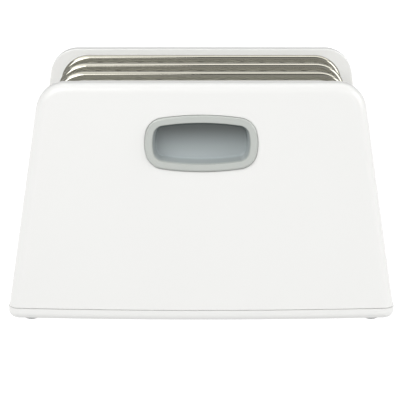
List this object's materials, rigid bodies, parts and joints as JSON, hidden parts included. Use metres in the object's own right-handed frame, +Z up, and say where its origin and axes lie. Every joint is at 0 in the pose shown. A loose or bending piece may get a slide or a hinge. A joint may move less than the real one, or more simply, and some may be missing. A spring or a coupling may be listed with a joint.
{
  "type": "toast rack",
  "caption": "Toast rack: moulded end panels with inset finger grips, steel hoops that hold slices apart, and a crumb tray that slides out of one end of the base.",
  "frame": {"origin": "middle of the rack at the level of the surface that it stands on", "axes": "+X along the toast slots, towards the end where the crumb tray comes out; +Y from the front panel to the rear panel; +Z up"},
  "size_m": [0.1972, 0.1214, 0.1225],
  "materials": {
    "white_plastic": "smooth gloss moulding",
    "grip_plastic": "smooth satin-gloss moulding",
    "rod_steel": "mirror-polished stainless steel rod",
    "fixing_steel": "plain zinc-plated fixings",
    "collar_rubber": "matt silicone",
    "foot_rubber": "matt rubber"
  },
  "bodies": {
    "rack": {"base_shell": "white_plastic", "deck": "white_plastic", "front_shell": "white_plastic", "front_liner": "white_plastic", "front_grip": "grip_plastic", "rear_shell": "white_plastic", "rear_liner": "white_plastic", "rear_grip": "grip_plastic", "hoop_front": "rod_steel", "hoop_middle": "rod_steel", "hoop_rear": "rod_steel", "hoop_grommets": "collar_rubber", "hoop_washers": "fixing_steel", "hoop_nuts": "fixing_steel", "base_screws": "fixing_steel", "deck_screws": "fixing_steel", "foot_front_left": "foot_rubber", "foot_front_right": "foot_rubber", "foot_rear_left": "foot_rubber", "foot_rear_right": "foot_rubber"},
    "tray": {"crumb_tray": "white_plastic"}
  },
  "joints": [
    {"name": "tray_slide", "type": "slide", "parent": "rack", "child": "tray", "axis": [1, 0, 0], "range_m": [0, 0.15]}
  ]
}
